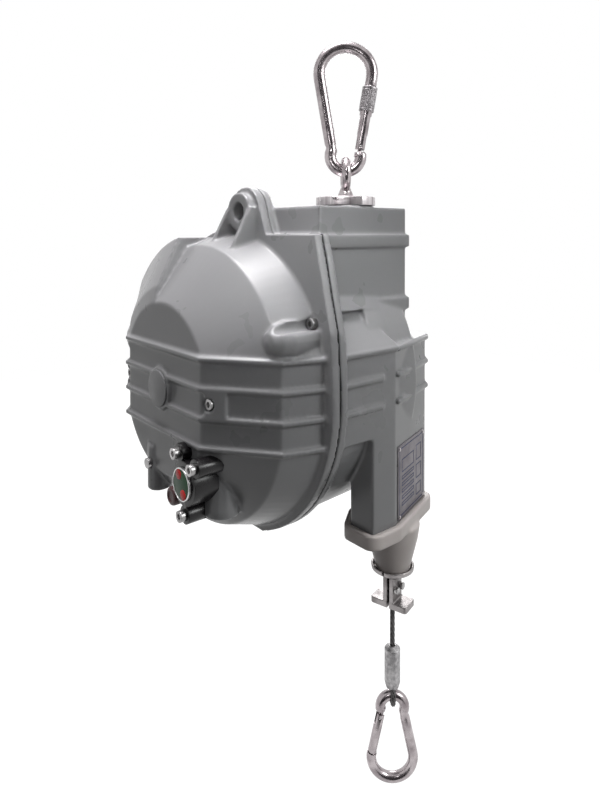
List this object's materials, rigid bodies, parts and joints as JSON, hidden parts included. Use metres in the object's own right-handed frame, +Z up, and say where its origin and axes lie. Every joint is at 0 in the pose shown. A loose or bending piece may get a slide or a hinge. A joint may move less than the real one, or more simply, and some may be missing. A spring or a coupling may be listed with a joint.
{
  "type": "tool balancer",
  "caption": "Spring tool balancer: round ribbed cast drum housing, screw-lock hanging hook on a swivel eye, wire rope out of a funnel with clamp, pressed loop and snap hook.",
  "frame": {"origin": "on the swivel axis of the hanging eye, level with the top of the tower", "axes": "+Z up against the load, +Y from the front cover to the rear, +X towards the rope side"},
  "size_m": [0.304, 0.2655, 0.7449],
  "materials": {
    "cast_paint": "satin grey-green coat on a casting",
    "seal": "matt",
    "screw_steel": "dark zinc",
    "plate_steel": "zinc",
    "hook_steel": "zinc on forged steel",
    "sleeve_steel": "knurled and bright",
    "bronze": "turned",
    "bumper_plastic": "off-white, slightly translucent",
    "dial_green": "gloss coat",
    "ring_black": "matt",
    "knob_dark": "satin",
    "plate_sheet": "bare sheet",
    "clamp_metal": "cast",
    "ferrule_metal": "pressed",
    "rope_steel": "laid wires",
    "drum_metal": "turned casting",
    "shaft_steel": "ground",
    "spring_steel": "blued",
    "cap_metal": "satin coat"
  },
  "bodies": {
    "housing": {"front_cover": "cast_paint", "rear_housing": "cast_paint", "seam_gasket": "seal", "cover_screws": "screw_steel", "side_screws": "screw_steel", "lock_screws": "screw_steel", "axle_cap": "cap_metal", "front_bush": "bronze", "rear_bush": "bronze", "worm_bush": "bronze", "lock_ring": "ring_black", "lock_plate": "dial_green", "stub_screw": "screw_steel", "suspension_plate": "plate_steel", "rope_bumper": "bumper_plastic", "type_plate": "plate_sheet", "plate_rivets": "plate_steel"},
    "swivel_eye": {"eye_bolt": "hook_steel", "eye_washer": "plate_steel", "eye_nut": "plate_steel"},
    "hanging_hook": {"top_hook": "hook_steel", "top_gate_pin": "plate_steel"},
    "hanging_gate": {"top_gate": "hook_steel"},
    "lock_sleeve": {"top_sleeve": "sleeve_steel"},
    "rope_drum": {"drum": "drum_metal", "drum_bearings": "shaft_steel", "spring_cover": "drum_metal", "rope_turns": "rope_steel", "drum_spring": "spring_steel"},
    "tension_shaft": {"main_shaft": "shaft_steel", "worm_wheel": "bronze"},
    "tension_worm": {"worm_screw": "shaft_steel"},
    "rope_end": {"clamp_half_left": "clamp_metal", "clamp_half_right": "clamp_metal", "clamp_screws": "screw_steel", "rope_run": "rope_steel", "rope_lower": "rope_steel", "ferrule": "ferrule_metal", "rope_loop": "rope_steel"},
    "load_hook": {"bottom_hook": "hook_steel", "bottom_gate_pin": "plate_steel"},
    "load_gate": {"bottom_gate": "hook_steel"},
    "drum_lock": {"lock_knob": "knob_dark"}
  },
  "joints": [
    {"name": "eye_swivel", "type": "hinge", "parent": "housing", "child": "swivel_eye", "pos_m": [0, 0, 0], "axis": [0, 0, 1], "continuous": true},
    {"name": "hook_swing", "type": "hinge", "parent": "swivel_eye", "child": "hanging_hook", "pos_m": [0, 0, 0.0475], "axis": [-0.7672, 0.6414, 0], "range_deg": [-45, 45]},
    {"name": "hanging_gate_open", "type": "hinge", "parent": "hanging_hook", "child": "hanging_gate", "pos_m": [0.00947, 0.01132, 0.0617], "axis": [0.7672, -0.6414, 0], "range_deg": [0, 30], "stiffness_Nm_per_rad": 0.2, "springref_deg": -28.65},
    {"name": "sleeve_screw", "type": "slide", "parent": "hanging_gate", "child": "lock_sleeve", "axis": [0.1057, 0.1264, 0.9863], "range_m": [0, 0.007]},
    {"name": "drum_spin", "type": "hinge", "parent": "tension_shaft", "child": "rope_drum", "pos_m": [-0.086, -0.069, -0.172], "axis": [0, 1, 0], "range_deg": [0, 954], "stiffness_Nm_per_rad": 0.25, "springref_deg": -3437.75},
    {"name": "rope_pull", "type": "slide", "parent": "housing", "child": "rope_end", "axis": [0, 0, -1], "range_m": [0, 2], "deforming": ["rope_run"]},
    {"name": "load_hook_swing", "type": "hinge", "parent": "rope_end", "child": "load_hook", "pos_m": [0.034, 0.033, -0.497], "axis": [-0.7672, 0.6414, 0], "range_deg": [-40, 40]},
    {"name": "load_gate_open", "type": "hinge", "parent": "load_hook", "child": "load_gate", "pos_m": [0.02614, 0.0236, -0.5102], "axis": [0.7672, -0.6414, 0], "range_deg": [0, 30], "stiffness_Nm_per_rad": 0.15, "springref_deg": -28.65},
    {"name": "tension_turn", "type": "hinge", "parent": "housing", "child": "tension_shaft", "pos_m": [-0.086, -0.069, -0.172], "axis": [0, 1, 0], "range_deg": [0, 360]},
    {"name": "worm_turn", "type": "hinge", "parent": "housing", "child": "tension_worm", "pos_m": [-0.017, -0.128, -0.172], "axis": [0, 0, 1], "range_deg": [-17280, 17280]},
    {"name": "lock_turn", "type": "hinge", "parent": "housing", "child": "drum_lock", "pos_m": [-0.054, -0.157, -0.263], "axis": [0, 1, 0], "range_deg": [0, 90]}
  ],
  "couplings": [
    {"joint": "worm_turn", "follows": "tension_turn", "ratio": 48},
    {"joint": "rope_pull", "follows": "drum_spin", "m_per_rad": 0.12}
  ]
}
